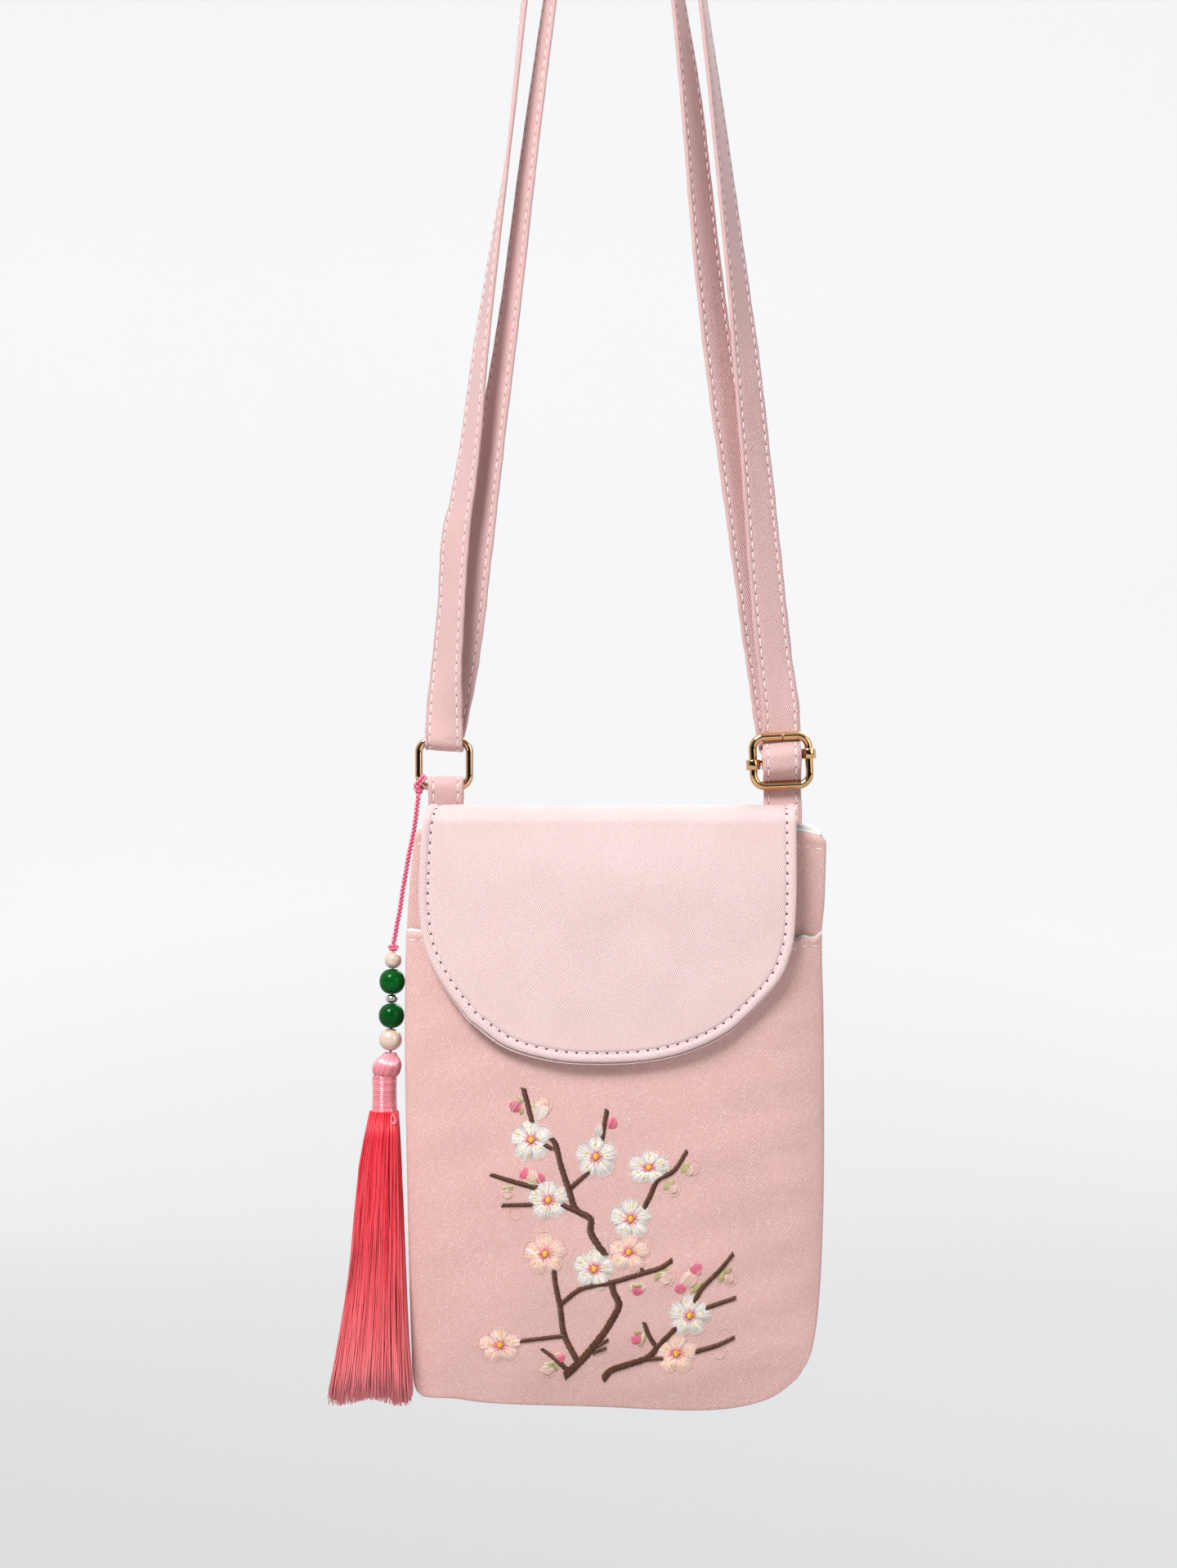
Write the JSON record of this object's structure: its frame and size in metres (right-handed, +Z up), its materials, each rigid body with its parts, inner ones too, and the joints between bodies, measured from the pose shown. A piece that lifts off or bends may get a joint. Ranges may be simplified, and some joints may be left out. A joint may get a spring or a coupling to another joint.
{
  "type": "embroidered shoulder bag",
  "caption": "Small hanging pouch bag of pink twill with a rounded flap, a front slip pocket sewn with a blossom branch, a doubled strap and a bead and tassel charm.",
  "frame": {"origin": "hang point: the underside of the strap's inner loop, at the middle of its width, where a hook or rod carries the bag", "axes": "+Z up along the hanging strap, +X to the right seen from the front, -Y to the front with the flap"},
  "size_m": [0.1593, 0.0342, 0.5396],
  "materials": {
    "twill_pink": "satin twill",
    "flap_pink": "satin twill",
    "lining_white": "plain weave",
    "strap_pink": "folded twill",
    "gold": "polished",
    "cord_pink": "braided",
    "pearl": "pearly",
    "green_bead": "polished",
    "silver": "polished",
    "tassel_head": "wound thread",
    "tassel_coral": "loose thread"
  },
  "bodies": {
    "root": {"pouch": "twill_pink", "lining": "lining_white", "front_pocket": "twill_pink", "flap": "flap_pink", "flap_facing": "flap_pink", "strap": "strap_pink", "strap_tab": "strap_pink", "strap_ring": "gold", "slider_frame": "gold", "slider_bar": "gold", "charm_hitch": "cord_pink", "charm_cord": "cord_pink", "bead_thread": "cord_pink", "pearl_bead_upper": "pearl", "green_bead_upper": "green_bead", "spacer_bead": "silver", "green_bead_lower": "green_bead", "pearl_bead_lower": "pearl", "tassel_knob": "tassel_head", "tassel_neck": "tassel_head", "tassel_skirt": "tassel_coral"}
  },
  "joints": []
}
